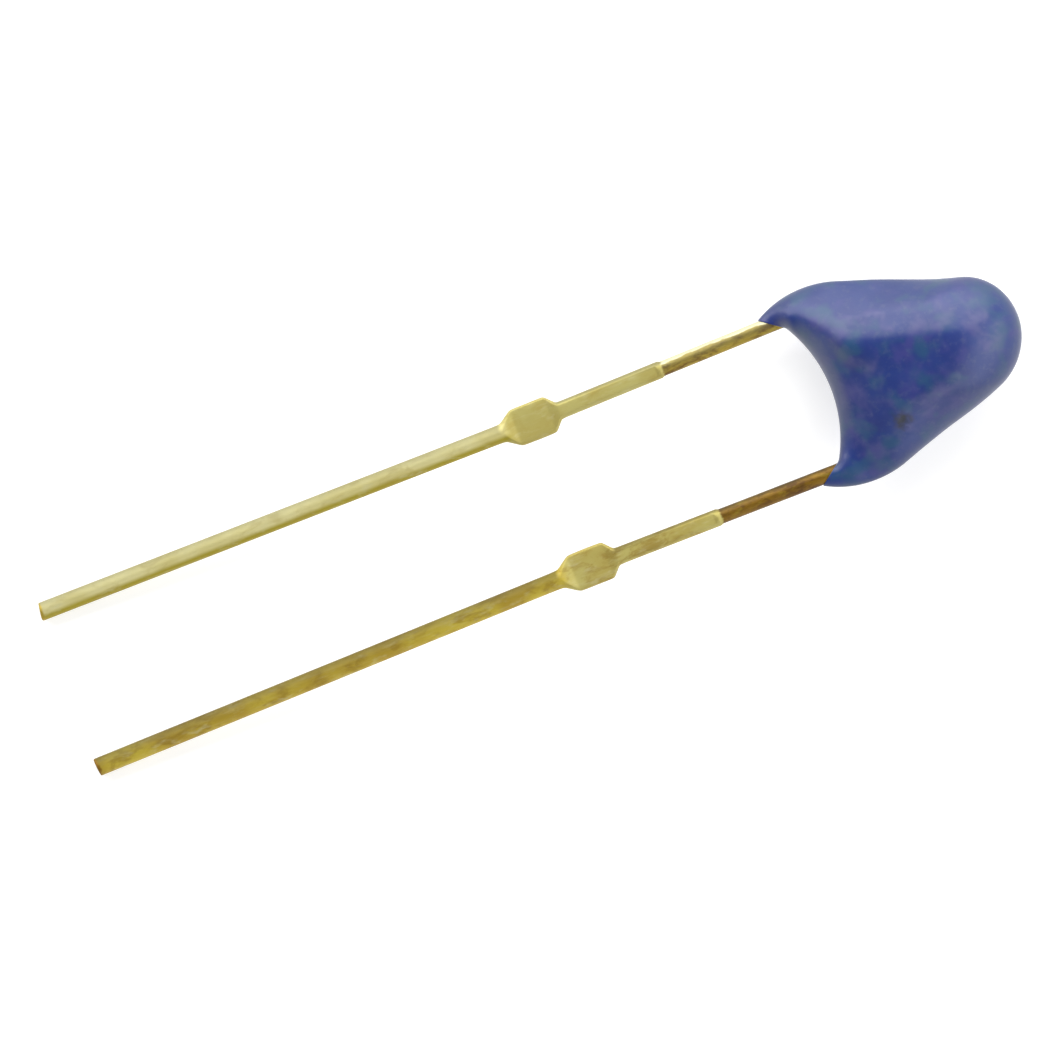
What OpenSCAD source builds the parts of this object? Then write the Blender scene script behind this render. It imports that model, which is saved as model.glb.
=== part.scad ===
// NTC thermistor: a ceramic disc soldered between two stopped leads and dipped in a coat.
// Datum of the sizes: the middle of the plane in which the leads leave the coat.
// X runs from the leads' tips to the nose, Y across the leads, Z out of the front face.
// The whole part is laid down on its back, on the two tips and the belly of the coat.

/* [Leads] */
// Diameter of the bare wire, from the mark inward
wire_d = 0.5; // [0.4:0.02:0.56]
// Diameter of the tinned lead, from its tip to the stop
tinned_d = 0.6; // [0.5:0.02:0.72]
// Diameter of the tinned lead where it was held, from the stop to the mark
held_d = 0.57; // [0.56:0.01:0.6]
// Distance between the leads at their stops
pitch = 5.08; // [4.2:0.02:6.2]
// Distance from the datum to the tip of the front lead
front_lead_length = 24.95; // [16:0.05:34]
// Distance from the datum to the tip of the back lead
back_lead_length = 25.1; // [16:0.05:34]
// Outward lean of each lead from its stop to the coat, in degrees
coat_side_splay = 0.5; // [0:0.1:1.5]
// Outward lean of each lead from its stop to the tip, in degrees
tip_side_splay = 0.5; // [0:0.1:1.5]

/* [Stops and jaw flats] */
// Distance from the datum to the middle of the stops' parallel edges
stop_distance = 7.75; // [6:0.05:10]
// Width across a coined stop
stop_width = 1.25; // [1:0.05:1.6]
// Thickness of a coined stop
stop_t = 0.25; // [0.2:0.01:0.35]
// Length of the stop's parallel edges
stop_edge_length = 1.2; // [0.8:0.05:1.6]
// Length of the stop's taper on the tip side
tip_taper = 0.45; // [0.3:0.05:0.8]
// Length of the stop's taper on the coat side
coat_taper = 0.3; // [0.2:0.05:0.6]
// Radius of the stop's corners
stop_corner_r = 0.12; // [0.05:0.01:0.2]
// Distance from the datum to the mark where the jaw flats end
mark_distance = 3.2; // [2:0.05:4.5]
// Thickness across the jaw flats
jaw_flat_t = 0.46; // [0.4:0.01:0.5]
// Length of the ramp where the jaw flats end
jaw_ramp = 0.1; // [0.05:0.01:0.2]
// Length over which the tin runs out at the mark
tin_end = 0.12; // [0.05:0.01:0.3]

/* [Disc, electrodes and solder] */
// Diameter of the ceramic disc
disc_d = 2.9; // [2.4:0.05:3.6]
// Thickness of the ceramic disc
disc_t = 1; // [0.8:0.05:1.3]
// Distance from the datum to the middle of the disc
disc_distance = 6.17; // [5.4:0.01:8]
// Chamfer round the disc's edges
disc_chamfer = 0.1; // [0.05:0.01:0.2]
// Bare rim of the disc round each electrode
electrode_margin = 0.2; // [0.1:0.05:0.4]
// Thickness of each fired electrode
electrode_t = 0.03; // [0.01:0.01:0.05]
// Thickness of solder between a lead and its electrode
solder_film = 0.03; // [0.02:0.01:0.1]
// Thickness of solder over a lead
solder_cover = 0.15; // [0.1:0.01:0.3]
// Bare rim of the electrode round the solder
solder_margin = 0.25; // [0.1:0.05:0.4]

/* [Leads inside the coat] */
// Distance from the datum to the leads' first bend
bend_distance = 1.4; // [1.3:0.05:1.5]
// Radius of the bends at the middle of the wire
bend_r = 1; // [0.8:0.05:1.2]
// Length of lead lying level before it reaches the disc
level_length = 2.17; // [1.9:0.01:2.4]
// Distance from the axis to a lead's second bend
second_bend_offset = 1.05; // [0.8:0.05:1.3]
// Distance from the axis to a lead's inner end, below 0 past the axis
end_offset = -0.1; // [-0.4:0.05:0.4]
// Distance from a lead's inner end to the disc's far edge
end_margin = 1.1; // [0.9:0.05:1.4]

/* [Coat] */
// Coat round the edge of the disc
edge_cover = 0.55; // [0.4:0.01:0.7]
// Coat over the leads on the faces
face_cover = 0.42; // [0.35:0.01:0.5]
// Extra half thickness of the web between the leads, over the wire's radius
web_cover = 0.17; // [0.1:0.01:0.3]
// Angle between each straight side and the axis
side_angle = 18.6; // [14:0.1:22]
// Plan radius of the shoulders over the leads
shoulder_r = 3.4; // [2.8:0.05:4]
// Distance from the datum to the deepest point of the edge between the leads
meniscus_distance = 1.63; // [1.4:0.01:2]
// Distance from the datum to the middle of each slanted end on its lead
skirt_distance = 0.62; // [0.5:0.01:0.7]
// Angle between each slanted end and its lead
skirt_slant = 37; // [32:1:55]
// Thickness of the coat where it ends on a lead
skirt_t = 0.03; // [0.02:0.01:0.06]
// Rounding of the edge between the leads
web_edge_r = 0.55; // [0.4:0.05:0.7]
// Rounding of the outer edge round the nose and on the far side of each face
nose_edge_r = 2.8; // [2.3:0.05:3.1]
// Rounding of the outer edge beside the lead of each face
side_edge_r = 2; // [1.5:0.05:2.3]
// Distance from the datum to where the face between the leads has risen to the disc
web_rise_end = 3.5; // [3:0.05:4.2]
// Fall of the face from the ridge over a lead to the other lead's side
inner_slope = 0.14; // [0.08:0.01:0.24]
// Fall of the face from the ridge to its own side, over the disc
outer_slope = 0.5; // [0.4:0.01:0.6]
// How far the wet coat sagged to the back lead's side beside the disc
sag = 0.11; // [0:0.01:0.2]

/* [Hidden] */

$fn = 96;
ring_steps = 36; // rings of the coat from the axis to each lead
ring_points = 40; // points round each ring
bend_swell = 0.01; // the wire is a little fuller in its bends
bend_overlap = 0.08; // straight wire that reaches into a bend
tin_edge = 0.01; // thickness of the tin where it ends
die_relief = 0.02; // the dies' ramps run on past the wire

wire_r = wire_d / 2;
tinned_r = tinned_d / 2;
held_r = held_d / 2;
disc_r = disc_d / 2;
electrode_r = disc_r - electrode_margin;
solder_r = electrode_r - solder_margin;
solder_h = solder_film + wire_d + solder_cover;
face_z = disc_t / 2; // the disc's front face
seat_z = face_z + electrode_t; // the electrode's front face
level_z = seat_z + solder_film + wire_r; // the lead's middle where it lies on the disc

// The front lead's route through the middle of the wire, from its tip inward. The back lead
// is the same turned half round the X axis, apart from its length.
stop_middle = [-stop_distance, pitch / 2, 0];
function tip_point(length) =
    [-length, pitch / 2 + (length - stop_distance) * tan(tip_side_splay), 0];
function lead_y(distance) = pitch / 2 + (stop_distance + distance) * tan(coat_side_splay);
first_bend = [bend_distance, lead_y(bend_distance), 0];
second_bend = [disc_distance - disc_r - level_length, second_bend_offset, level_z];
lead_end = [disc_distance + disc_r - end_margin, end_offset, level_z];

function unit(v) = v / norm(v);
function mix(a, b, share) = a + (b - a) * share;
function bump(offset, reach) = exp(-pow(offset / reach, 2));
function clamped(share) = max(0, min(1, share));
function smooth(share) = let (s = clamped(share)) s * s * (3 - 2 * s);

// ---- the coat's outline in plan ----

// Each slanted end spans the wire and its skirt, from the edge between the leads to the outline
skirt_middle = [skirt_distance, lead_y(skirt_distance)];
skirt_reach = (wire_r + skirt_t) / sin(skirt_slant) * [cos(skirt_slant), -sin(skirt_slant)];
web_corner = skirt_middle + skirt_reach;
outline_end = skirt_middle - skirt_reach;

// The edge between the leads is one arc
meniscus_depth = meniscus_distance - web_corner.x;
meniscus_r = (pow(web_corner.y, 2) + pow(meniscus_depth, 2)) / (2 * meniscus_depth);
meniscus_half_angle = asin(web_corner.y / meniscus_r);

// The outline is an arc round the nose, a straight side and a shoulder arc that touches the
// side and ends on the lead
nose_r = disc_r + edge_cover;
coat_length = disc_distance + nose_r;
side_turn = 90 - side_angle;
side_normal = [cos(side_turn), sin(side_turn)];
side_direction = [-cos(side_angle), sin(side_angle)];
side_start = [disc_distance, 0] + nose_r * side_normal;
end_depth = outline_end * side_normal - side_start * side_normal + shoulder_r;
shoulder_middle = outline_end - end_depth * side_normal
    - sqrt(pow(shoulder_r, 2) - pow(end_depth, 2)) * side_direction;
side_end = shoulder_middle + shoulder_r * side_normal;
shoulder_stop = outline_end - shoulder_middle;
shoulder_turn = atan2(shoulder_stop.y, shoulder_stop.x) - side_turn;

function arc_length(radius, turn) = radius * turn * PI / 180;
nose_arc = arc_length(nose_r, side_turn);
side_length = norm(side_end - side_start);
half_outline = nose_arc + side_length + arc_length(shoulder_r, shoulder_turn);

function arc_point(middle, radius, angle) = middle + radius * [cos(angle), sin(angle)];
function half_outline_point(s) =
    s < nose_arc ? arc_point([disc_distance, 0], nose_r, s / arc_length(nose_r, 1))
    : s < nose_arc + side_length ? side_start + (s - nose_arc) * side_direction
    : arc_point(shoulder_middle, shoulder_r,
        side_turn + (s - nose_arc - side_length) / arc_length(shoulder_r, 1));

// Both edges at a place t, from -1 on the back lead, past 0 on the axis, to 1 on the front lead
function outer_edge(t) =
    let (p = half_outline_point(abs(t) * half_outline)) [p.x, t < 0 ? -p.y : p.y];
function inner_edge(t) =
    arc_point([meniscus_distance - meniscus_r, 0], meniscus_r, t * meniscus_half_angle);

// ---- the coat's front face, as a height over the plan ----

ridge_ease = 0.15; // softness of the ridge's bends
crest_softness = 0.2; // softness of its crest
ridge_w = 1; // width of its inner side, beyond which the web has its own rise
web_rise_lead = 0.3; // how far before the first bend that rise starts
blend_power = 6; // sharpness of the blend between web, ridge and dome
edge_power = 1.7; // fullness of the rounded edges
web_h = wire_r + web_cover;
ridge_h = wire_r + face_cover; // over the middle of the lead
dome_h = seat_z + solder_h / 2 + face_cover;
dome_reach = 1.35; // the dome's run-out past the disc
dome_r = disc_r + dome_reach;
slope_share = 0.7; // the outer slope at the first bend, as a share of the one over the disc
first_outer_slope = slope_share * outer_slope;

// From 0 before the start to 1 past the stop, with soft corners
function progress(x, start, stop) =
    let (a = (x - start) / (stop - start))
    (norm([a, ridge_ease]) - norm([a - 1, ridge_ease]) + 1) / 2;
function wire_rise(x) = progress(x, first_bend.x, second_bend.x);
function web_rise(x) = progress(x, first_bend.x - web_rise_lead, web_rise_end);
function ridge_y(x) =
    mix(first_bend.y, second_bend.y, wire_rise(x))
    + (lead_end.y - second_bend.y) * clamped((x - second_bend.x) / (lead_end.x - second_bend.x));
function ridge(x, y) =
    let (aside = y - ridge_y(x),
        slope = aside < 0 ? inner_slope : mix(first_outer_slope, outer_slope, wire_rise(x)),
        rise = mix(wire_rise(x), web_rise(x), smooth(-aside / ridge_w)))
    max(0, level_z * rise + ridge_h + crest_softness - norm([slope * aside, crest_softness]));
function dome(x, y) = dome_h * exp(-pow(norm([x - disc_distance, y]) / dome_r, 3));
function blend(heights) =
    pow([for (h = heights) pow(h, blend_power)] * [for (h = heights) 1], 1 / blend_power);
function face_height(x, y) = blend([web_h, ridge(x, y), dome(x, y)]);

// From 0 at an edge to 1 at the end of its rounding
function rounding(depth, radius) =
    depth > radius ? 1 : sqrt(1 - pow(1 - depth / radius, edge_power));

lead_in = 0.15; // share of t in which the coat thins down to a lead
web_full_from = 0.7; // place t from which the web's rounding grows to half the section
side_to = 0.4; // place t up to which the outer rounding goes from the nose's to the side's
sag_reach = 1.3; // along the axis, from the middle of the disc
// One ring of the coat, round the section between the two edges at t
function ring(t) =
    let (inner = inner_edge(t), outer = outer_edge(t), span = norm(outer - inner),
        web_share = smooth((abs(t) - web_full_from) / (1 - web_full_from)),
        side_share = smooth((abs(t) - side_to) / (1 - side_to)),
        near_edge = mix(nose_edge_r, side_edge_r, smooth(abs(t) / side_to)),
        wanted_inner = mix(web_edge_r, span / 2, web_share))
    [for (i = [0 : ring_points - 1])
        let (angle = 360 * i / ring_points, share = (1 - cos(angle)) / 2,
            even = mix(inner, outer, share), side = sin(angle) < 0 ? -1 : 1,
            p = even - [0, sag * bump(even.x - disc_distance, sag_reach)],
            wanted_outer = mix(side * t > 0 ? near_edge : nose_edge_r, span / 2, side_share),
            fit = min(1, span / (wanted_inner + wanted_outer)),
            full = mix(wire_r + skirt_t, face_height(p.x, side * p.y),
                smooth((1 - abs(t)) / lead_in)),
            round = rounding(share * span, wanted_inner * fit)
                * rounding((1 - share) * span, wanted_outer * fit))
        [p.x, p.y, side * full * round]];

coat_rings = [for (i = [-ring_steps : ring_steps]) ring(i / ring_steps)];
coat_points = [for (r = coat_rings) each r];

// ---- how the part lies ----

tip_x = -max(front_lead_length, back_lead_length);
rest_tilt = max([for (p = coat_points) atan2(-tinned_r - p.z, p.x - tip_x)]);
lift = tinned_r * cos(rest_tilt) - tip_x * sin(rest_tilt);
middle_x = ((coat_length + tip_x) * cos(rest_tilt) - tinned_r * sin(rest_tilt)) / 2;

module laid_down() {
    translate([-middle_x, 0, lift]) rotate([0, -rest_tilt, 0]) children();
}

module to_back() {
    rotate([180, 0, 0]) children();
}

// ---- wire ----

module aimed(from, to) {
    way = to - from;
    translate(from) rotate([0, acos(way.z / norm(way)), atan2(way.y, way.x)]) children();
}

module stretch(from, to, radius = wire_r) {
    aimed(from, to) cylinder(h = norm(to - from), r = radius);
}

function turn_at(corner, before, after) =
    acos(unit(corner - before) * unit(after - corner));
function bend_trim(corner, before, after) =
    bend_r * tan(turn_at(corner, before, after) / 2);

module bend(corner, before, after) {
    way_in = unit(corner - before);
    way_out = unit(after - corner);
    turn = turn_at(corner, before, after);
    outward = (way_in * cos(turn) - way_out) / sin(turn);
    upward = cross(outward, way_in);
    start = corner - way_in * bend_trim(corner, before, after);
    middle = start - outward * bend_r;
    multmatrix([for (k = [0 : 2]) [outward[k], way_in[k], upward[k], middle[k]]])
        rotate_extrude(angle = turn) translate([bend_r, 0]) circle(r = wire_r + bend_swell);
}

stop_half = stop_edge_length / 2;
stop_tip_end = -stop_distance - stop_half - tip_taper;
stop_coat_end = -stop_distance + stop_half + coat_taper;
// Both stretches of a lead end inside its stop, where it turns by the two leans
wire_stop = stop_half / 2;
way_in = unit(first_bend - stop_middle);
function inward(distance) = stop_middle + (stop_distance - distance) / way_in.x * way_in;

// The bare wire from under the tin to its inner end, bent to shape
module bare_wire() {
    first_trim = bend_trim(first_bend, stop_middle, second_bend) - bend_overlap;
    second_trim = bend_trim(second_bend, first_bend, lead_end) - bend_overlap;
    slope = unit(second_bend - first_bend);
    level = unit(lead_end - second_bend);
    stretch(inward(mark_distance + 2 * tin_end), first_bend - first_trim * way_in);
    bend(first_bend, stop_middle, second_bend);
    stretch(first_bend + first_trim * slope, second_bend - second_trim * slope);
    bend(second_bend, first_bend, lead_end);
    stretch(second_bend + second_trim * level, lead_end);
}

// The tinned lead on both sides of the stop, up to the mark where the tin runs out
module tinned_wire(length) {
    tip = tip_point(length);
    held_from = stop_middle + wire_stop * way_in;
    mark = inward(mark_distance);
    held_length = norm(mark - held_from);
    stretch(tip, stop_middle + wire_stop * unit(tip - stop_middle), tinned_r);
    aimed(held_from, mark) rotate_extrude()
        polygon([[0, 0], [held_r, 0], [held_r, held_length - tin_end],
            [wire_r + tin_edge, held_length], [0, held_length]]);
}

// What the dies press away from the front of a lead: down to the stop, and to the jaw flat
module die_cut() {
    die_reach = stop_width; // past the wire on every side
    jaw_end = -mark_distance - tin_end;
    translate([0, pitch / 2 + die_reach, 0]) rotate([90, 0, 0])
        linear_extrude(2 * die_reach)
            polygon([[stop_tip_end, tinned_r + die_relief], [-stop_distance - stop_half, stop_t / 2],
                [-stop_distance + stop_half, stop_t / 2], [stop_coat_end, jaw_flat_t / 2],
                [jaw_end - jaw_ramp, jaw_flat_t / 2], [jaw_end, held_r + die_relief],
                [jaw_end, die_reach], [stop_tip_end, die_reach]]);
}

// A convex outline whose corners are rounded by arcs
module rounded_outline(corners, radius) {
    count = len(corners);
    for (i = [0 : count - 1]) {
        to_before = unit(corners[(i + count - 1) % count] - corners[i]);
        to_after = unit(corners[(i + 1) % count] - corners[i]);
        half = acos(to_before * to_after) / 2;
        translate(corners[i] + unit(to_before + to_after) * radius / sin(half))
            circle(r = radius);
    }
    polygon([for (i = [0 : count - 1])
        let (to_before = unit(corners[(i + count - 1) % count] - corners[i]),
            to_after = unit(corners[(i + 1) % count] - corners[i]),
            half = acos(to_before * to_after) / 2)
        each [corners[i] + to_before * radius / tan(half),
            corners[i] + to_after * radius / tan(half)]]);
}

// The coined plate of one stop
module stop_plate() {
    tip_neck = -stop_half - tip_taper;
    coat_neck = stop_half + coat_taper;
    half_width = stop_width / 2;
    corners = [[tip_neck, -tinned_r], [-stop_half, -half_width], [stop_half, -half_width],
        [coat_neck, -held_r], [coat_neck, held_r], [stop_half, half_width],
        [-stop_half, half_width], [tip_neck, tinned_r]];
    translate(stop_middle - [0, 0, stop_t / 2])
        linear_extrude(stop_t) rounded_outline(corners, stop_corner_r);
}

module lead(length) {
    difference() {
        union() {
            tinned_wire(length);
            bare_wire();
        }
        die_cut();
        mirror([0, 0, 1]) die_cut();
    }
    stop_plate();
}

// ---- disc, electrode and solder ----

module disc_body() {
    translate([disc_distance, 0, 0]) rotate_extrude()
        polygon([[0, -face_z], [disc_r - disc_chamfer, -face_z], [disc_r, disc_chamfer - face_z],
            [disc_r, face_z - disc_chamfer], [disc_r - disc_chamfer, face_z], [0, face_z]]);
}

module electrode() {
    translate([disc_distance, 0, face_z]) cylinder(h = electrode_t, r = electrode_r);
}

// A cap of solder over the lead, as a segment of a ball
module solder_cap() {
    ball_r = (pow(solder_r, 2) + pow(solder_h, 2)) / (2 * solder_h);
    translate([disc_distance, 0, seat_z]) intersection() {
        translate([0, 0, solder_h - ball_r]) sphere(r = ball_r);
        cylinder(h = solder_h, r = 2 * ball_r);
    }
}

module solder() {
    difference() {
        solder_cap();
        bare_wire();
    }
}

// ---- coat ----

module coat_form() {
    last = len(coat_rings) - 1;
    function index(i, j) = i * ring_points + j % ring_points;
    sides = [for (i = [0 : last - 1], j = [0 : ring_points - 1]) each
        [[index(i, j), index(i + 1, j), index(i + 1, j + 1)],
            [index(i, j), index(i + 1, j + 1), index(i, j + 1)]]];
    start_face = [for (j = [0 : ring_points - 1]) index(0, j)];
    end_face = [for (j = [ring_points - 1 : -1 : 0]) index(last, j)];
    polyhedron(coat_points, concat(sides, [start_face, end_face]));
}

module front_stack() {
    electrode();
    solder_cap();
    bare_wire();
}

module coating() {
    color([0.28, 0.34, 0.6]) laid_down() difference() {
        coat_form();
        union() {
            disc_body();
            front_stack();
            to_back() front_stack();
        }
    }
}

module ceramic_disc() {
    color([0.25, 0.24, 0.23]) laid_down() disc_body();
}

module electrode_front() {
    color([0.8, 0.8, 0.78]) laid_down() electrode();
}

module electrode_back() {
    color([0.8, 0.8, 0.78]) laid_down() to_back() electrode();
}

module solder_front() {
    color([0.66, 0.67, 0.68]) laid_down() solder();
}

module solder_back() {
    color([0.66, 0.67, 0.68]) laid_down() to_back() solder();
}

module lead_front() {
    color([0.76, 0.73, 0.52]) laid_down() lead(front_lead_length);
}

module lead_back() {
    color([0.76, 0.73, 0.52]) laid_down() to_back() lead(back_lead_length);
}

coating();
ceramic_disc();
electrode_front();
electrode_back();
solder_front();
solder_back();
lead_front();
lead_back();
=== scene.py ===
import math

import bmesh
import bpy
from mathutils import Matrix, Vector, noise


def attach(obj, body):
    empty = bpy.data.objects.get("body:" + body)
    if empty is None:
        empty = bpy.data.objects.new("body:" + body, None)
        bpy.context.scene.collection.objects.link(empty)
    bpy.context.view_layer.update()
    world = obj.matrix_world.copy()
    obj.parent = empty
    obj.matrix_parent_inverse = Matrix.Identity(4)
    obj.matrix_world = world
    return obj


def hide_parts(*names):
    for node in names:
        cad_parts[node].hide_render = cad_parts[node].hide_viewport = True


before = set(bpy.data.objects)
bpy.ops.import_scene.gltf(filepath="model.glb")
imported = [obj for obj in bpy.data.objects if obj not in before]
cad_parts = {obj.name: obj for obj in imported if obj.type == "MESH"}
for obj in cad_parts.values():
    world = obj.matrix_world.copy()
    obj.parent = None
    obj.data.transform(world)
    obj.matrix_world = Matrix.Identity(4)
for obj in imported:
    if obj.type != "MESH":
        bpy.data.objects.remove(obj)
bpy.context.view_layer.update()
print("frame loaded")

# The part lies on its back. Its own axes: X from the lead tips to the nose of the coat, Y across
# the leads towards the front lead, Z out of the front face, in millimetres from the datum.
mm = 0.001                # metres
lying = {
    "tilt": 2.38517,      # degrees that the tips are lower than the coat
    "forward": 8.46391,
    "lift": 1.34433,
}
laidDown = (
    Matrix.Scale(mm, 4)
    @ Matrix.Translation((lying["forward"], 0, lying["lift"]))
    @ Matrix.Rotation(-math.radians(lying["tilt"]), 4, "Y")
)

# Sizes that the coat and the leads share, in millimetres; the datum is the plane where the leads
# leave the coat
wire = {
    "bareRadius": 0.25,
    "tinnedRadius": 0.3,
    "heldRadius": 0.285,     # tinned, between the stop and the mark
    "pitch": 5.08,           # between the leads at their stops
    "stop": 7.75,            # from the datum to the middle of the stops
    "splay": math.tan(math.radians(0.5)),    # the leads spread from the stops to each end
    "firstBend": (1.4, 2.61985, 0),
    "secondBend": (2.55, 1.05, 0.81),
    "innerEnd": (6.52, -0.1, 0.81),
    "bendRadius": 1,
}


def mix(a, b, share):
    return a + (b - a) * share


def clamped(share):
    return max(0, min(1, share))


def smooth(share):
    share = clamped(share)
    return share * share * (3 - 2 * share)


def bump(offset, reach):
    return math.exp(-(offset / reach) ** 2)


def softMin(a, b, softness):
    return (a + b - math.hypot(a - b, softness)) / 2


def softMax(a, b, softness):
    return (a + b + math.hypot(a - b, softness)) / 2


def addObject(name, data):
    made = bpy.data.objects.new(name, data)
    bpy.context.scene.collection.objects.link(made)
    return made


def tube(ringCount, pointCount, place):
    # a circle pulled out ring by ring and closed at both ends; place gives each point its seat
    shape = bmesh.new()
    bmesh.ops.create_circle(shape, cap_ends=True, segments=pointCount, radius=1)
    rim = list(shape.edges)
    for _ in range(ringCount - 1):
        pulled = bmesh.ops.extrude_edge_only(shape, edges=rim)["geom"]
        moving = [part for part in pulled if isinstance(part, bmesh.types.BMVert)]
        bmesh.ops.translate(shape, vec=(0, 0, 1), verts=moving)
        moved = set(moving)
        rim = [part for part in pulled if isinstance(part, bmesh.types.BMEdge)
               and part.verts[0] in moved and part.verts[1] in moved]
    bmesh.ops.edgeloop_fill(shape, edges=rim)
    for point in shape.verts:
        angle = math.atan2(point.co.y, point.co.x) % (2 * math.pi)
        point.co = place(round(point.co.z), angle)
    bmesh.ops.recalc_face_normals(shape, faces=shape.faces)
    if shape.calc_volume(signed=True) < 0:
        bmesh.ops.reverse_faces(shape, faces=shape.faces)
    return shape


justAbove = 0.000001    # metres; a piece rests on the floor, not in it


def finished(shape, name, material, slot, *nodes):
    # the piece in its place, in metres, standing for its CAD nodes
    shape.transform(laidDown)
    for point in shape.verts:
        point.co.z = max(point.co.z, justAbove)
    for face in shape.faces:
        face.smooth = True
    mesh = bpy.data.meshes.new(name)
    shape.to_mesh(mesh)
    shape.free()
    mesh.materials.append(material)
    piece = addObject(name, mesh)
    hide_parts(*nodes)
    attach(piece, "root")
    print(name, "made:", len(mesh.polygons), "faces")


class Signal:
    # a socket whose sums and products add Math nodes
    def __init__(self, tree, socket=None):
        self.tree = tree
        self.socket = socket

    def node(self, kind, settings, inputs, output=0):
        made = self.tree.nodes.new("ShaderNode" + kind)
        for name, value in settings.items():
            setattr(made, name, value)
        for name, value in inputs.items():
            if isinstance(value, Signal):
                self.tree.links.new(value.socket, made.inputs[name])
            else:
                made.inputs[name].default_value = value
        return Signal(self.tree, made.outputs[output] if made.outputs else None)

    def maths(self, operation, first, second):
        return self.node("Math", {"operation": operation}, {0: first, 1: second})

    def __add__(self, other):
        return self.maths("ADD", self, other)

    def __radd__(self, other):
        return self.maths("ADD", other, self)

    def __sub__(self, other):
        return self.maths("SUBTRACT", self, other)

    def __rsub__(self, other):
        return self.maths("SUBTRACT", other, self)

    def __mul__(self, other):
        return self.maths("MULTIPLY", self, other)

    def __rmul__(self, other):
        return self.maths("MULTIPLY", other, self)


def startMaterial(name):
    material = bpy.data.materials.new(name)
    material.use_nodes = True
    material.node_tree.nodes.clear()
    return material, Signal(material.node_tree)


def finishMaterial(shader, constants, changing):
    # constants are set on the shader's own sockets, and changing holds links
    inputs = {**constants, **changing}
    surface = shader.node("BsdfPrincipled", {}, inputs)
    shader.node("OutputMaterial", {}, {"Surface": surface})


def blended(shader, share, first, second):
    # a colour between two colours
    def colour(value):
        return value if isinstance(value, Signal) else (*value, 1)
    return shader.node("Mix", {"data_type": "RGBA"},
                       {0: share, 6: colour(first), 7: colour(second)}, 2)


def axis(shader, place, letter):
    return shader.node("SeparateXYZ", {}, {0: place}, letter)


def shifted(shader, place, offset):
    return shader.node("VectorMath", {"operation": "ADD"}, {0: place, 1: offset})


def drawnOut(shader, place, share):
    # a place whose patterns are longer along the part, by one over the share
    return shader.node("Mapping", {}, {"Vector": place, "Scale": (share, 1, 1)})


def cloud(shader, place, scale, detail, roughness, distortion=0):
    return shader.node("TexNoise", {}, {"Vector": place, "Scale": scale, "Detail": detail,
                                        "Roughness": roughness, "Distortion": distortion})


def step(shader, value, low, high):
    # 0 below low, 1 above high, smooth in between
    return shader.node("MapRange", {"interpolation_type": "SMOOTHSTEP"},
                       {"Value": value, "From Min": low, "From Max": high})


def bumped(shader, height, distance, strength=1):
    return shader.node("Bump", {}, {"Height": height, "Distance": distance,
                                    "Strength": strength})


view = {
    "turn": math.radians(-21.65),
    "height": 0.5,
    "width": 0.03438,           # metres of the scene across the view
    "level": 0.001,             # height at which that width holds
    "middle": (-0.000694, -0.000662),
    "sensor": 36,
    "clip": (0.01, 20),
}
# right and up in the view, as directions on the floor
viewRight = Vector((math.cos(view["turn"]), math.sin(view["turn"]), 0))
viewUp = Vector((-viewRight.y, viewRight.x, 0))

camera = addObject("camera", bpy.data.cameras.new("camera"))
camera.location = (*view["middle"], view["height"])
camera.rotation_euler = (0, 0, view["turn"])
camera.data.sensor_width = view["sensor"]
camera.data.lens = view["sensor"] * (view["height"] - view["level"]) / view["width"]
camera.data.clip_start, camera.data.clip_end = view["clip"]
bpy.context.scene.camera = camera
print("camera set")

coat = {
    "rings": 241,
    "points": 128,
    "disc": 6.17,              # from the datum to the middle of the disc
    "noseRadius": 2.0,
    "sideAngle": 18.6,         # degrees between a straight side and the axis
    "shoulderRadius": 3.4,
    "skirt": 0.62,             # from the datum to the middle of a slanted end
    "skirtSlant": 37,
    "skirtThickness": 0.03,
    "meniscus": 1.63,          # deepest point of the edge between the leads
    "webHeight": 0.42,
    "ridgeHeight": 0.67,
    "levelHeight": 0.81,
    "innerSlope": 0.14,        # how fast the face falls from the ridge to each side
    "outerSlope": (0.35, 0.5),
    "crestSoftness": 0.2,
    "webRise": (1.1, 3.5),     # where the face between the leads rises
    "ridgeWidth": 1,
    "bendSoftness": 0.15,      # share of a rise over which it starts and stops
    "domeHeight": 1.29,
    "domeRadius": 2.8,
    "domePower": 3,
    "blendPower": 6,
    "edgeRadius": 0.55,        # rounding of the edge between the leads
    "noseEdge": 2.8,           # rounding of the outer edge, less beside the lead of that face
    "sideEdge": 2.0,
    "edgePower": 1.7,
    # shares of the way from the nose to a skirt's end: where both edges start to turn into half
    # rounds and how far they take, and how far the height takes to fall to the skirt's
    "edgeEnd": (0.7, 0.3),
    "sideEnd": (0.4, 0.6),
    "skirtEnd": 0.15,
    "sag": 0.11,
    "sagReach": 1.3,
    "lip": [(0.985, 0.009), (0.95, 0.016), (0.9, 0.018), (0.8, 0.018)],   # rings' size and place
    "lump": 0.014,             # depth and length of the soft unevenness
    "lumpLength": 1.1,
    "lumpFrom": (0.9, 1.2),    # where it starts, and how far it takes to be full
    "lumpShares": (0.5, 0.35, 0.15),    # even, coarse and fine
    "lumpFiner": 2.7,
    "pore": (3.44, -1.85),     # a small pit on the front face
    "poreHeight": 1.05,
    "poreRadius": 0.13,
    "poreDepth": 0.03,
}


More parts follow.
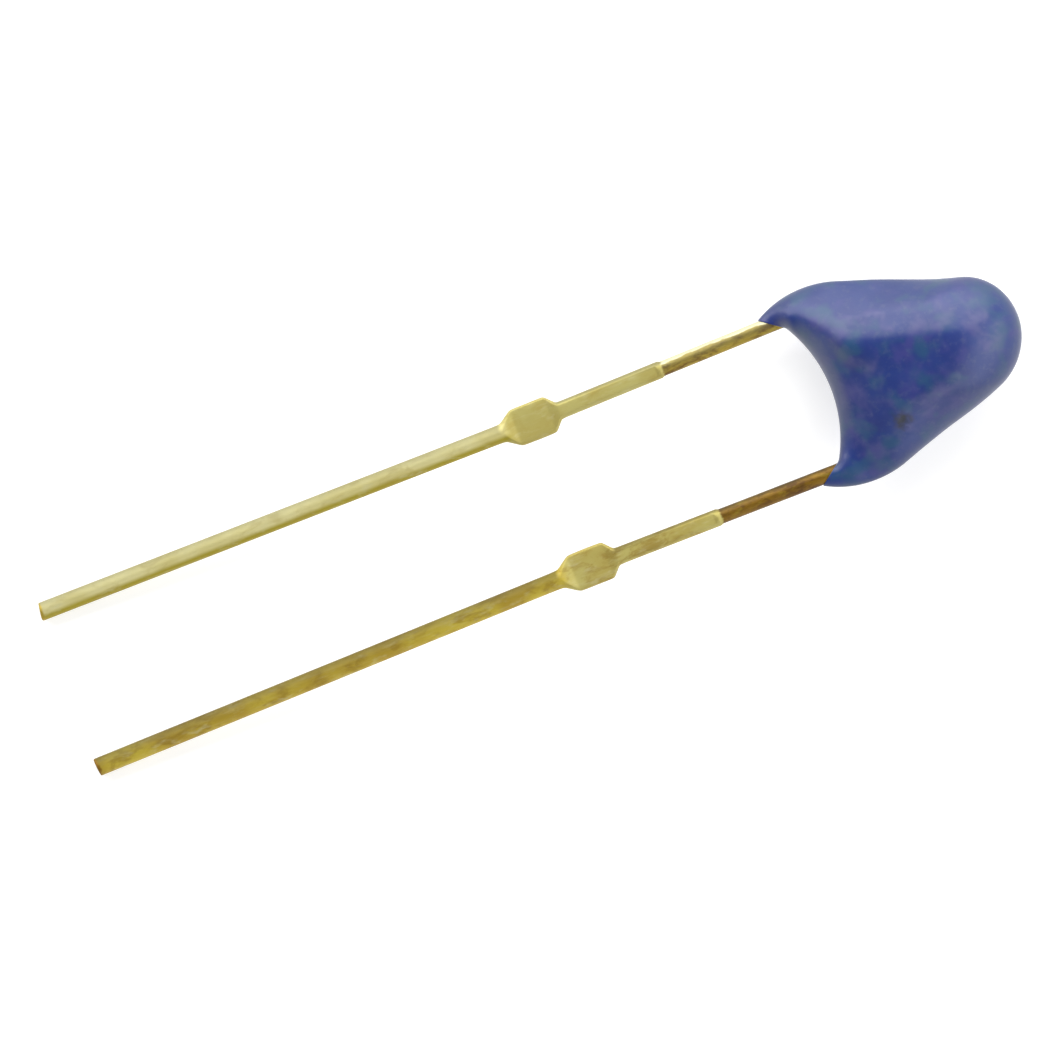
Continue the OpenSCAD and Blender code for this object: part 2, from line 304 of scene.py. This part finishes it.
def coatForm():
    radius = wire["bareRadius"]
    slant = math.radians(coat["skirtSlant"])
    skirtMiddle = Vector((coat["skirt"],
                          wire["pitch"] / 2 + (wire["stop"] + coat["skirt"]) * wire["splay"]))
    reach = Vector((math.cos(slant), -math.sin(slant)))
    reach *= (radius + coat["skirtThickness"]) / math.sin(slant)
    webCorner, outlineEnd = skirtMiddle + reach, skirtMiddle - reach

    depth = coat["meniscus"] - webCorner.x
    meniscusRadius = (webCorner.y ** 2 + depth ** 2) / (2 * depth)
    meniscusTurn = math.asin(webCorner.y / meniscusRadius)

    disc = Vector((coat["disc"], 0))
    noseRadius, shoulderRadius = coat["noseRadius"], coat["shoulderRadius"]
    lean = math.radians(coat["sideAngle"])
    sideTurn = math.pi / 2 - lean
    outward = Vector((math.cos(sideTurn), math.sin(sideTurn)))
    along = Vector((-math.cos(lean), math.sin(lean)))
    sideStart = disc + noseRadius * outward
    endDepth = (outlineEnd - sideStart).dot(outward) + shoulderRadius
    shoulderMiddle = (outlineEnd - endDepth * outward
                      - math.sqrt(shoulderRadius ** 2 - endDepth ** 2) * along)
    sideEnd = shoulderMiddle + shoulderRadius * outward
    shoulderStop = outlineEnd - shoulderMiddle
    shoulderTurn = math.atan2(shoulderStop.y, shoulderStop.x) - sideTurn
    noseArc = noseRadius * sideTurn
    sideLength = (sideEnd - sideStart).length
    halfOutline = noseArc + sideLength + shoulderRadius * shoulderTurn

    def onArc(middle, size, angle):
        return middle + size * Vector((math.cos(angle), math.sin(angle)))

    # t runs from -1 at the back lead, through 0 at the nose, to 1 at the front lead
    def outerEdge(t):
        gone = abs(t) * halfOutline
        if gone < noseArc:
            point = onArc(disc, noseRadius, gone / noseRadius)
        elif gone < noseArc + sideLength:
            point = sideStart + (gone - noseArc) * along
        else:
            point = onArc(shoulderMiddle, shoulderRadius,
                          sideTurn + (gone - noseArc - sideLength) / shoulderRadius)
        return Vector((point.x, math.copysign(point.y, t)))

    def innerEdge(t):
        return onArc(Vector((coat["meniscus"] - meniscusRadius, 0)), meniscusRadius,
                     t * meniscusTurn)

    firstBend, secondBend = Vector(wire["firstBend"]), Vector(wire["secondBend"])
    innerEnd = Vector(wire["innerEnd"])

    def progress(x, start, stop):
        share, soft = (x - start) / (stop - start), coat["bendSoftness"]
        return (math.hypot(share, soft) - math.hypot(share - 1, soft) + 1) / 2

    def faceHeight(x, y):
        gone = progress(x, firstBend.x, secondBend.x)
        onDisc = clamped((x - secondBend.x) / (innerEnd.x - secondBend.x))
        aside = y - mix(firstBend.y, secondBend.y, gone) - (innerEnd.y - secondBend.y) * onDisc
        slope = coat["innerSlope"] if aside < 0 else mix(*coat["outerSlope"], gone)
        crest = coat["crestSoftness"]
        rise = mix(gone, progress(x, *coat["webRise"]), smooth(-aside / coat["ridgeWidth"]))
        ridge = max(0, coat["levelHeight"] * rise + coat["ridgeHeight"] + crest
                    - math.hypot(slope * aside, crest))
        away = math.hypot(x - coat["disc"], y) / coat["domeRadius"]
        dome = coat["domeHeight"] * math.exp(-away ** coat["domePower"])
        power = coat["blendPower"]
        return (coat["webHeight"] ** power + ridge ** power + dome ** power) ** (1 / power)

    def rounding(deep, size):
        return 1 if deep > size else math.sqrt(1 - max(0, 1 - deep / size) ** coat["edgePower"])

    def sectionPoint(t, angle):
        inner, outer = innerEdge(t), outerEdge(t)
        span = (outer - inner).length
        edgeStart, edgeWay = coat["edgeEnd"]
        innerSize = mix(coat["edgeRadius"], span / 2, smooth((abs(t) - edgeStart) / edgeWay))
        side = -1 if math.sin(angle) < 0 else 1
        sideSize = coat["sideEdge"] if side * t > 0 else coat["noseEdge"]
        sideStop, sideWay = coat["sideEnd"]
        outerSize = mix(coat["noseEdge"], sideSize, smooth(abs(t) / sideStop))
        outerSize = mix(outerSize, span / 2, smooth((abs(t) - sideStop) / sideWay))
        fit = min(1, span / (innerSize + outerSize))
        share = (1 - math.cos(angle)) / 2
        point = inner.lerp(outer, share)
        point.y -= coat["sag"] * bump(point.x - coat["disc"], coat["sagReach"])
        full = mix(radius + coat["skirtThickness"], faceHeight(point.x, side * point.y),
                   smooth((1 - abs(t)) / coat["skirtEnd"]))
        height = (full * rounding(share * span, innerSize * fit)
                  * rounding((1 - share) * span, outerSize * fit))
        return Vector((point.x, point.y, side * height))

    lip, rings = coat["lip"], coat["rings"]

    def place(ring, angle):
        # past its slanted ends the coat turns in to the wire by a small round lip
        ring -= len(lip)
        t = max(-1, min(1, 2 * ring / (rings - 1) - 1))
        point = sectionPoint(t, angle)
        past = max(-ring, ring - rings + 1)
        if past > 0:
            size, out = lip[past - 1]
            middle = Vector((skirtMiddle.x, math.copysign(skirtMiddle.y, t), 0))
            point = middle + size * (point - middle) - Vector((out, 0, 0))
        return point

    shape = tube(rings + 2 * len(lip), coat["points"], place)
    shape.normal_update()
    pore = Vector(coat["pore"])
    even, coarse, fine = coat["lumpShares"]
    lumpStart, lumpWay = coat["lumpFrom"]
    for point in shape.verts:
        spot = point.co / coat["lumpLength"]
        uneven = (even + coarse * noise.noise(spot)
                  + fine * noise.noise(spot * coat["lumpFiner"]))
        sink = coat["lump"] * uneven * smooth((point.co.x - lumpStart) / lumpWay)
        if point.co.z > 0:
            sink += coat["poreDepth"] * bump((point.co.xy - pore).length, coat["poreRadius"])
        point.co -= point.normal * sink
    return shape


coatLook = {
    # a pattern's scale, detail, roughness and distortion
    "wide": (520, 2, 0.55), "patches": (1300, 2, 0.55, 0.1), "tints": (1100, 2, 0.55, 0.1),
    "fine": (4200, 3, 0.6), "tintOffset": (0.013, 0.007, 0.02),
    "deepBlue": (0.010, 0.024, 0.145), "blue": (0.014, 0.035, 0.168), "blueRange": (0.34, 0.68),
    # a pattern's low and high ends, the most it shows, and its colour
    "violet": (0.44, 0.68, 0.55, (0.044, 0.041, 0.185)),
    "greyGreen": (0.46, 0.70, 0.7, (0.014, 0.064, 0.135)),
    "speckle": (0.5, 0.75, 0.4, (0.050, 0.068, 0.165)),
    # painted reflection: greyer where the surface turns steeply down to its rim
    "rim": (0.8, 0.1, 0.5, (0.036, 0.050, 0.082)),
    # painted highlight on the ridges: the slopes it covers, how far along it starts, its
    # patches, how much shows and its colour
    "paintedRidgeHighlightSlopes": ((0.985, 0.945), (0.78, 0.89)),    # upward part of the surface's direction
    "paintedRidgeHighlightFrom": (0.0098, 0.0118),                    # along the part, in metres
    "paintedRidgeHighlightPatches": (0.36, 0.72),
    "paintedRidgeHighlight": 0.4, "paintedRidgeHighlightColour": (0.095, 0.102, 0.205),
    "pit": 0.85, "pitReach": (0.00006, 0.00042), "pitRagged": 0.0006,
    "pitColour": (0.030, 0.033, 0.030),
    "gloss": 0.36, "glossShift": (0.14, 0.08),        # by the patches and by the fine pattern
    "relief": (0.6, 0.3, 0.1), "reliefDepth": 0.00004, "reliefStrength": 0.6,
    "sheen": 0.12, "sheenGloss": 0.35, "sheenTint": (1, 0.96, 0.88, 1),
}


def coatMaterial():
    material, shader = startMaterial("blueCoat")
    place = shader.node("TexCoord", {}, {}, "Object")
    wide = cloud(shader, place, *coatLook["wide"])
    patches = cloud(shader, place, *coatLook["patches"])
    tints = cloud(shader, shifted(shader, place, coatLook["tintOffset"]), *coatLook["tints"])
    fine = cloud(shader, place, *coatLook["fine"])

    def washed(colour, pattern, wash):
        low, high, most, washColour = wash
        return blended(shader, step(shader, pattern, low, high) * most, colour, washColour)

    # blue with violet and grey green patches
    blue = blended(shader, step(shader, wide, *coatLook["blueRange"]), coatLook["deepBlue"],
                   coatLook["blue"])
    blue = washed(blue, patches, coatLook["violet"])
    blue = washed(blue, tints, coatLook["greyGreen"])
    blue = washed(blue, fine, coatLook["speckle"])
    # painted highlight: paler blotches along its ridges; painted reflection: greyer where it
    # turns down to its rim
    facing = axis(shader, shader.node("TexCoord", {}, {}, "Normal"), "Z")
    flatter, steeper = coatLook["paintedRidgeHighlightSlopes"]
    ridges = step(shader, facing, *flatter) * step(shader, facing, *steeper)
    paintedRidgeHighlight = (step(shader, patches, *coatLook["paintedRidgeHighlightPatches"])
             * step(shader, axis(shader, place, "X"), *coatLook["paintedRidgeHighlightFrom"]))
    blue = blended(shader, ridges * paintedRidgeHighlight * coatLook["paintedRidgeHighlight"], blue, coatLook["paintedRidgeHighlightColour"])
    # painted reflection: the colour turns greyer on the steep sides
    blue = washed(blue, facing * facing, coatLook["rim"])
    # a dark pit with a ragged edge
    seat = laidDown @ Vector((*coat["pore"], coat["poreHeight"]))
    away = shader.node("VectorMath", {"operation": "DISTANCE"}, {0: place, 1: seat}, "Value")
    ragged = away + (fine - 0.5) * coatLook["pitRagged"]
    dark = 1 - step(shader, ragged, *coatLook["pitReach"])
    blue = blended(shader, dark * coatLook["pit"], blue, coatLook["pitColour"])
    byPatches, byFine = coatLook["glossShift"]
    gloss = coatLook["gloss"] + (patches - 0.5) * byPatches + (fine - 0.5) * byFine
    most, some, least = coatLook["relief"]
    height = wide * most + patches * some + fine * least
    finishMaterial(shader, {"IOR": 1.5, "Sheen Weight": coatLook["sheen"],
                            "Sheen Roughness": coatLook["sheenGloss"],
                            "Sheen Tint": coatLook["sheenTint"]},
                   {"Base Color": blue, "Roughness": gloss,
                    "Normal": bumped(shader, height, coatLook["reliefDepth"],
                                     coatLook["reliefStrength"])})
    return material


finished(coatForm(), "coat", coatMaterial(), "blue_coat", "coating")

lead = {
    "points": 76,
    "stopWidth": 1.25,
    "stopThickness": 0.25,
    "stopEdge": 1.2,            # length of the stop's parallel edges
    "tipTaper": 0.45,
    "coatTaper": 0.3,
    "cornerSoftness": 0.05,
    "mark": 3.2,                # where the jaw flats and the tin end
    "jawFlat": 0.46,
    "jawRamp": 0.1,
    "tinEnd": 0.12,
    "dieSoftness": 0.016,       # rounding of the pressed edges
    "dieTop": 0.02,             # how far over the wire a die's ramp starts
    "rampSoftness": (0.02, 0.01),
    "tip": [(0, 0.86), (0.004, 0.93), (0.012, 0.97), (0.03, 0.99), (0.07, 1)],  # place and size
    "tipLength": 0.2,
    "stretches": [(-9.4, 30), (-6.5, 96), (-3.7, 8), (-3.0, 36)],   # end and number of rings
    "lastRings": [-3.0, -2, -1],
    "bendStep": 5,              # degrees
    "crowdShares": (12 / 19, 16 / 19),    # of the points, before and up to a pressed edge
    "crowdReach": 0.06,         # radians each side of the edge
    "highestEdge": 0.99,        # as a share of the wire's radius
    "lastTurn": 1.55,           # radians, short of the top
    "dieReach": 0.03,           # a die this far over the wire still rounds it
    "dieLow": 0.01,             # points lower than this keep their height
}


def stretchOut(start, stop, count):
    return [mix(start, stop, i / count) for i in range(count)]


hair, speck = 1e-6, 1e-9    # allowances for rounding errors


def leadForm(length, cutSlant, side):
    # places along the lead, from the datum, less than 0 on the tips' side
    stopHalf = lead["stopEdge"] / 2
    plateTip = -wire["stop"] - stopHalf
    plateCoat = -wire["stop"] + stopHalf
    plateTipEnd, plateCoatEnd = plateTip - lead["tipTaper"], plateCoat + lead["coatTaper"]
    mark = -lead["mark"]
    jawEnd = mark - lead["tinEnd"]
    places = [-length + away for away, _ in lead["tip"]]
    reached = -length + lead["tipLength"]
    for stop, count in lead["stretches"]:
        places += stretchOut(reached, stop, count)
        reached = stop
    places += lead["lastRings"]
    firstBend, secondBend = Vector(wire["firstBend"]), Vector(wire["secondBend"])
    innerEnd = Vector(wire["innerEnd"])
    stopMiddle = Vector((-wire["stop"], wire["pitch"] / 2, 0))
    stations = []
    for x in places:
        lean = math.copysign(wire["splay"], x + wire["stop"])
        way = Vector((1, lean, 0)).normalized()
        stations.append((Vector((x, stopMiddle.y + (x + wire["stop"]) * lean, 0)), way, x))
    corners = [stopMiddle, firstBend, secondBend, innerEnd]
    for before, corner, after in zip(corners, corners[1:], corners[2:]):
        wayIn, wayOut = (corner - before).normalized(), (after - corner).normalized()
        turn = wayIn.angle(wayOut)
        inward = (wayOut - wayIn * math.cos(turn)) / math.sin(turn)
        start = corner - wayIn * wire["bendRadius"] * math.tan(turn / 2)
        steps = max(3, round(math.degrees(turn) / lead["bendStep"]))
        for i in range(steps + 1):
            angle = turn * i / steps
            point = start + wire["bendRadius"] * (wayIn * math.sin(angle)
                                                  + inward * (1 - math.cos(angle)))
            stations.append((point, wayIn * math.cos(angle) + inward * math.sin(angle), 0))
    stations.append((innerEnd, (innerEnd - secondBend).normalized(), 0))

    def roundRadius(x):
        if x < -wire["stop"]:
            return wire["tinnedRadius"]
        return mix(wire["heldRadius"], wire["bareRadius"], smooth((x - jawEnd) / lead["tinEnd"]))

    def halfWidth(x):
        # the stop's outline: a wide strip between two tapers
        rise = (x - plateTipEnd) / lead["tipTaper"]
        fall = (plateCoatEnd - x) / lead["coatTaper"]
        wide = lead["stopWidth"] / 2
        narrow = roundRadius(x)
        softness = lead["cornerSoftness"]
        rising = narrow + (wide - narrow) * rise
        falling = narrow + (wide - narrow) * fall
        body = softMin(softMin(rising, falling, softness), wide, softness)
        # less the little that the rounding adds to the plain wire
        return softMax(body, narrow, softness) - softness * softness / 8

    def halfHeight(x):
        # the dies' faces: the ramp down to the plate, the plate, the jaw flat, the ramp up
        thin, jaw = lead["stopThickness"] / 2, lead["jawFlat"] / 2
        top = wire["tinnedRadius"] + lead["dieTop"]
        wideSoft, soft = lead["rampSoftness"]
        down = mix(top, thin, (x - plateTipEnd) / lead["tipTaper"])
        upToJaw = mix(thin, jaw, (x - plateCoat) / lead["coatTaper"])
        upToRound = mix(jaw, top, (x - jawEnd + lead["jawRamp"]) / lead["jawRamp"])
        return softMax(softMax(down, thin, wideSoft),
                       softMax(softMin(upToJaw, jaw, soft), upToRound, soft), soft)

    def place(ring, angle):
        point, way, x = stations[ring]
        radius, flat, wide = wire["bareRadius"], math.inf, 0
        if x:    # the bends inside the coat have x = 0, and no flats
            radius, flat, wide = roundRadius(x), halfHeight(x), halfWidth(x)
        # the points crowd where the pressed face meets the round side
        quarter, share = divmod(angle / (math.pi / 2), 1)
        if share > 1 - hair:
            quarter, share = quarter + 1, 0
        mirrored = quarter % 2
        share = 1 - share if mirrored else share
        edge = math.asin(min(lead["highestEdge"], flat / radius))
        below, above = lead["crowdShares"]
        soft = lead["crowdReach"]
        around = [(0, 0), (below, edge - soft), (above, min(edge + soft, lead["lastTurn"])),
                  (1, math.pi / 2)]
        for (fromShare, fromTurn), (toShare, toTurn) in zip(around, around[1:]):
            if share <= toShare + speck:
                turn = mix(fromTurn, toTurn, (share - fromShare) / (toShare - fromShare))
                break
        across = math.cos(turn) * max(wide, radius)
        up = math.sin(turn) * radius
        if flat < radius + lead["dieReach"] and up > lead["dieLow"]:
            up = softMin(up, flat, lead["dieSoftness"])
        across *= -1 if quarter % 4 in (1, 2) else 1
        up *= -1 if quarter % 4 in (2, 3) else 1
        upward = (Vector((0, 0, 1)) - way * way.z).normalized()
        aside = upward.cross(way)
        if ring < len(lead["tip"]):
            # the sheared tip: slanted, with its edge drawn over
            size = lead["tip"][ring][1]
            across, up = across * size, up * size
            fade = 1 - ring / len(lead["tip"])
            point = point + way * (across * cutSlant * fade)
        return point + aside * across + upward * up

    shape = tube(len(stations), lead["points"], place)
    if side < 0:
        bmesh.ops.rotate(shape, verts=shape.verts, cent=(0, 0, 0),
                         matrix=Matrix.Rotation(math.pi, 3, "X"))
    return shape


tinLook = {
    # stretch along the lead, then a pattern's scale, detail, roughness and distortion
    "streaks": (0.12, 9000, 3, 0.6), "spots": (0.5, 2400, 4, 0.65, 0.4),
    "flecks": (0.4, 4200, 3, 0.6), "wide": (1, 700, 2, 0.5),
    "fleckOffset": (0.03, 0.01, 0.02),
    "wideRange": (0.35, 0.65), "fleckRange": (0.52, 0.75), "streakRange": (0.5, 0.8),
    "flecksShown": 0.4, "streaksShown": 0.2,
    # painted shade across the lead: on the lower side of the front lead's free stretch, and
    # along the lit side of both
    "lowerSidePaintedShadeRange": (-0.15, -0.7), "litSidePaintedShadeRange": (-0.3, 0.6),    # across the lead, from -1 to 1
    # from the middle of the stop in mm, and softness in metres
    "agedTo": (0.9, 0.0002), "litSidePaintedShadeTo": (1.1, 0.0001), "litEdgePaintedShadeTo": (-0.9, 0.0001),
    # painted shade along the lit edge: how far past the stop it starts, its width and how much
    # shows
    "litEdgePaintedShadeWidth": 0.4, "litEdgePaintedShadeShown": 0.6,
    "bareRange": (0.36, 0.64), "bareFleckRange": (0.5, 0.72),
    "bareFlecksShown": 0.5, "bareLitSidePaintedShade": 0.8,
    # the ragged edge of the painted highlight on the front lead's bare stretch
    "paintedHighlightEdge": (-0.00002, 0.00003), "paintedHighlightRagged": (0.00018, 0.0001),    # metres
    "cutDepth": 0.1, "markSoftness": 0.00004, "ragged": 0.0003,
    "glossShift": (0.25, 0.1), "bareGlossShift": 0.2,
    "relief": (0.3, 0.5, 0.2), "reliefDepth": 0.00001, "reliefStrength": 0.5,
}


def leadMaterial(name, look):
    material, shader = startMaterial(name)
    place = shader.node("TexCoord", {}, {}, "Object")
    along, aside = axis(shader, place, "X"), axis(shader, place, "Y")

    def pattern(seat, kind):
        stretch, *values = tinLook[kind]
        return cloud(shader, drawnOut(shader, seat, stretch), *values)

    streaks, spots, wide = (pattern(place, kind) for kind in ("streaks", "spots", "wide"))
    flecks = pattern(shifted(shader, place, tinLook["fleckOffset"]), "flecks")
    # from -1 to 1 across the lead, by the middle line of its free stretch
    middleLine = wire["pitch"] / 2 + wire["splay"] * (lying["forward"] - wire["stop"])
    centre = middleLine * mm - along * wire["splay"]
    across = (aside - centre * look["side"]) * (1 / (wire["tinnedRadius"] * mm))

    def beyond(distance, softness=tinLook["markSoftness"]):
        # 0 on the tips' side of a place on the lead, 1 on the coat's side
        middle = (lying["forward"] - distance) * mm
        return step(shader, along + (spots - 0.5) * tinLook["ragged"],
                    middle - softness, middle + softness)

    def pastStop(kind):
        distance, softness = tinLook[kind]
        return beyond(wire["stop"] + distance, softness)

    # tin, older on the free stretch, with brown and pale spots
    warm = step(shader, wide, *tinLook["wideRange"])
    tin = blended(shader, warm, look["tin"], look["tinWarm"])
    free = blended(shader, warm, look["free"], look["freeWarm"])
    # painted shade: darker olive on the free stretch's lower side
    free = blended(shader, step(shader, across, *tinLook["lowerSidePaintedShadeRange"]) * look["lowerSidePaintedShade"], free,
                   look["lowerSidePaintedShadeColour"])
    tin = blended(shader, pastStop("agedTo"), free, tin)
    tin = blended(shader, step(shader, spots, *look["spotRange"]) * look["spots"], tin,
                  look["spotColour"])
    pale = step(shader, flecks, *tinLook["fleckRange"]) * tinLook["flecksShown"]
    tin = blended(shader, pale, tin, look["tinLight"])
    pale = step(shader, streaks, *tinLook["streakRange"]) * tinLook["streaksShown"]
    tin = blended(shader, pale, tin, look["tinLight"])
    # painted shade: the metal is darker along its lit side, less of it on the stop and past it
    litSidePaintedShadeMask = step(shader, across, *tinLook["litSidePaintedShadeRange"]) * look["litSidePaintedShade"]
    tin = blended(shader, litSidePaintedShadeMask * (1 - pastStop("litSidePaintedShadeTo")), tin, look["paintedShadeColour"])
    # painted shade along the lit edge of the jaw flats, from just past the stop
    edge = step(shader, across, look["litEdgePaintedShadeFrom"], look["litEdgePaintedShadeFrom"] + tinLook["litEdgePaintedShadeWidth"])
    tin = blended(shader, edge * pastStop("litEdgePaintedShadeTo") * tinLook["litEdgePaintedShadeShown"], tin,
                  look["paintedShadeColour"])
    # bare wire, on the front lead with a painted highlight, a pale band along its lit side
    bare = blended(shader, step(shader, spots, *tinLook["bareRange"]), look["bare"],
                   look["bareDark"])
    pale = step(shader, flecks, *tinLook["bareFleckRange"]) * tinLook["bareFlecksShown"]
    bare = blended(shader, pale, bare, look["bareLight"])
    # painted shade along the lit side of the bare wire too
    bare = blended(shader, litSidePaintedShadeMask * tinLook["bareLitSidePaintedShade"], bare, look["paintedShadeColour"])
    if "paintedHighlightColour" in look:
        bySpots, byFlecks = tinLook["paintedHighlightRagged"]
        edge = (aside - look["paintedHighlightFrom"]) + (spots - 0.5) * bySpots + (flecks - 0.5) * byFlecks
        bare = blended(shader, step(shader, edge, *tinLook["paintedHighlightEdge"]), bare, look["paintedHighlightColour"])
    # the cut ends show the wire's core
    tin = blended(shader, beyond(look["length"] - tinLook["cutDepth"]), look["bare"], tin)
    isBare = beyond(lead["mark"])
    bySpots, byStreaks = tinLook["glossShift"]
    gloss = mix(look["tinGloss"] + (spots - 0.5) * bySpots + (streaks - 0.5) * byStreaks,
                look["bareGloss"] + (spots - 0.5) * tinLook["bareGlossShift"], isBare)
    drawn, spotted, flecked = tinLook["relief"]
    height = streaks * drawn + spots * spotted + flecks * flecked
    finishMaterial(shader, {"Metallic": look["metal"], "IOR": 1.5},
                   {"Base Color": blended(shader, isBare, tin, bare), "Roughness": gloss,
                    "Normal": bumped(shader, height, tinLook["reliefDepth"],
                                     tinLook["reliefStrength"])})
    return material


frontLead = {
    "length": 24.95, "cutSlant": 0.16, "side": 1, "litEdgePaintedShadeFrom": 0.55,
    "tin": (0.43, 0.385, 0.125), "tinWarm": (0.39, 0.33, 0.09), "tinLight": (0.54, 0.51, 0.27),
    "free": (0.62, 0.57, 0.27), "freeWarm": (0.55, 0.49, 0.19),
    "spots": 0.4, "spotRange": (0.48, 0.70), "spotColour": (0.34, 0.26, 0.05),
    # painted shade along the lit side
    "litSidePaintedShade": 0.65, "paintedShadeColour": (0.16, 0.15, 0.075),
    # painted shade on the lower side
    "lowerSidePaintedShade": 1, "lowerSidePaintedShadeColour": (0.33, 0.27, 0.015),
    "bare": (0.36, 0.26, 0.025), "bareDark": (0.12, 0.055, 0.003),
    "bareLight": (0.46, 0.37, 0.07),
    # a painted highlight along the lit side of the bare stretch
    "paintedHighlightFrom": 0.00272, "paintedHighlightColour": (0.55, 0.53, 0.34),
    "tinGloss": 0.58, "bareGloss": 0.5, "metal": 0.5,
}
backLead = {
    "length": 25.1, "cutSlant": 0.08, "side": -1, "litEdgePaintedShadeFrom": 0.2,
    "tin": (0.43, 0.38, 0.115), "tinWarm": (0.38, 0.31, 0.075), "tinLight": (0.52, 0.48, 0.25),
    "free": (0.46, 0.36, 0.035), "freeWarm": (0.36, 0.25, 0.02),
    "spots": 0.6, "spotRange": (0.46, 0.66), "spotColour": (0.23, 0.14, 0.008),
    # painted shade along the lit side
    "litSidePaintedShade": 0.7, "paintedShadeColour": (0.07, 0.055, 0.006),
    # no painted shade on the lower side of this lead
    "lowerSidePaintedShade": 0, "lowerSidePaintedShadeColour": (0.3, 0.25, 0.03),
    "bare": (0.20, 0.105, 0.002), "bareDark": (0.085, 0.034, 0.002),
    "bareLight": (0.30, 0.22, 0.015),
    "tinGloss": 0.6, "bareGloss": 0.5, "metal": 0.5,
}
for name, finish, node, look in (("leadFront", "tinnedFront", "lead_front", frontLead),
                                 ("leadBack", "tinnedBack", "lead_back", backLead)):
    finished(leadForm(look["length"], look["cutSlant"], look["side"]), name,
             leadMaterial(finish, look), "tinned_wire", node)

# The pieces inside the coat keep their own meshes
innerLooks = {
    "ceramic_disc": {"light": (0.055, 0.052, 0.05), "dark": (0.02, 0.019, 0.018),
                     "grain": 14000, "metal": 0, "gloss": 0.75, "deep": 0.00001},
    "electrode_front": {"light": (0.78, 0.77, 0.74), "dark": (0.6, 0.59, 0.56),
                        "grain": 9000, "metal": 1, "gloss": 0.45, "deep": 0.000004},
    "solder_front": {"light": (0.55, 0.56, 0.57), "dark": (0.38, 0.39, 0.40),
                     "grain": 3000, "metal": 1, "gloss": 0.35, "deep": 0.00001},
}
innerLooks["electrode_back"] = innerLooks["electrode_front"]
innerLooks["solder_back"] = innerLooks["solder_front"]
innerGrain = {"detail": 4, "roughness": 0.6, "range": (0.35, 0.65), "glossShift": 0.3}


def innerMaterial(name, look):
    material, shader = startMaterial(name)
    place = shader.node("TexCoord", {}, {}, "Object")
    grain = cloud(shader, place, look["grain"], innerGrain["detail"], innerGrain["roughness"])
    colour = blended(shader, step(shader, grain, *innerGrain["range"]), look["dark"],
                     look["light"])
    gloss = look["gloss"] + (grain - 0.5) * innerGrain["glossShift"]
    finishMaterial(shader, {"Metallic": look["metal"]},
                   {"Base Color": colour, "Roughness": gloss,
                    "Normal": bumped(shader, grain, look["deep"])})
    return material


for name, look in innerLooks.items():
    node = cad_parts[name]
    node.data.materials.clear()
    node.data.materials.append(innerMaterial("inner_" + name, look))
print("inner pieces finished")

stage = {
    "floorSize": 3,
    "floorColour": (0.60, 0.60, 0.595),
    "grainColour": (0.62, 0.62, 0.62),
    "grain": (300, 3, 0.5),
    "floorGloss": 0.9,
    "floorShine": 0.1,
    "floorGlow": 0.55,
    "keyPlace": (-0.08, 0.245, 0.17),     # right, up and towards the camera, in metres
    "keySize": (0.68, 0.27),
    "keyPower": 2.05,
    "sidePlace": (0.255, -0.06, 0.21),
    "sideSize": (0.6, 0.26),
    "sidePower": 1.0,
    "horizon": 1.05,
    "zenith": 0.2,
    "zenithFrom": 0.9,
}


def floorMaterial():
    material, shader = startMaterial("paleFloor")
    place = shader.node("TexCoord", {}, {}, "Object")
    grain = cloud(shader, place, *stage["grain"])
    colour = blended(shader, grain, stage["floorColour"], stage["grainColour"])
    finishMaterial(shader, {"Roughness": stage["floorGloss"],
                            "Specular IOR Level": stage["floorShine"],
                            "Emission Strength": stage["floorGlow"]},
                   {"Base Color": colour, "Emission Color": (1, 1, 1, 1)})
    return material


shape = bmesh.new()
bmesh.ops.create_grid(shape, x_segments=1, y_segments=1, size=stage["floorSize"] / 2)
floorMesh = bpy.data.meshes.new("floor")
shape.to_mesh(floorMesh)
shape.free()
floorMesh.materials.append(floorMaterial())
floor = addObject("floor", floorMesh)


def areaLight(name, place, size, power):
    light = addObject(name, bpy.data.lights.new(name, "AREA"))
    light.data.shape = "RECTANGLE"
    light.data.size, light.data.size_y = size
    light.data.energy = power
    spot = place[0] * viewRight + place[1] * viewUp + Vector((0, 0, place[2]))
    light.location = spot
    light.rotation_euler = (-spot).to_track_quat("-Z", "Y").to_euler()


areaLight("key", stage["keyPlace"], stage["keySize"], stage["keyPower"])
areaLight("side", stage["sidePlace"], stage["sideSize"], stage["sidePower"])

# a studio that is bright round the sides and dim overhead
world = bpy.data.worlds.new("studio")
bpy.context.scene.world = world
world.use_nodes = True
world.node_tree.nodes.clear()
sky = Signal(world.node_tree)
direction = sky.node("TexCoord", {}, {}, "Generated")
overhead = step(sky, axis(sky, direction, "Z"), 0, stage["zenithFrom"])
strength = stage["horizon"] + overhead * (stage["zenith"] - stage["horizon"])
glow = sky.node("Background", {}, {"Color": (1, 1, 1, 1), "Strength": strength})
sky.node("OutputWorld", {}, {"Surface": glow})
bpy.context.scene.view_settings.view_transform = "Standard"
print("stage lit")
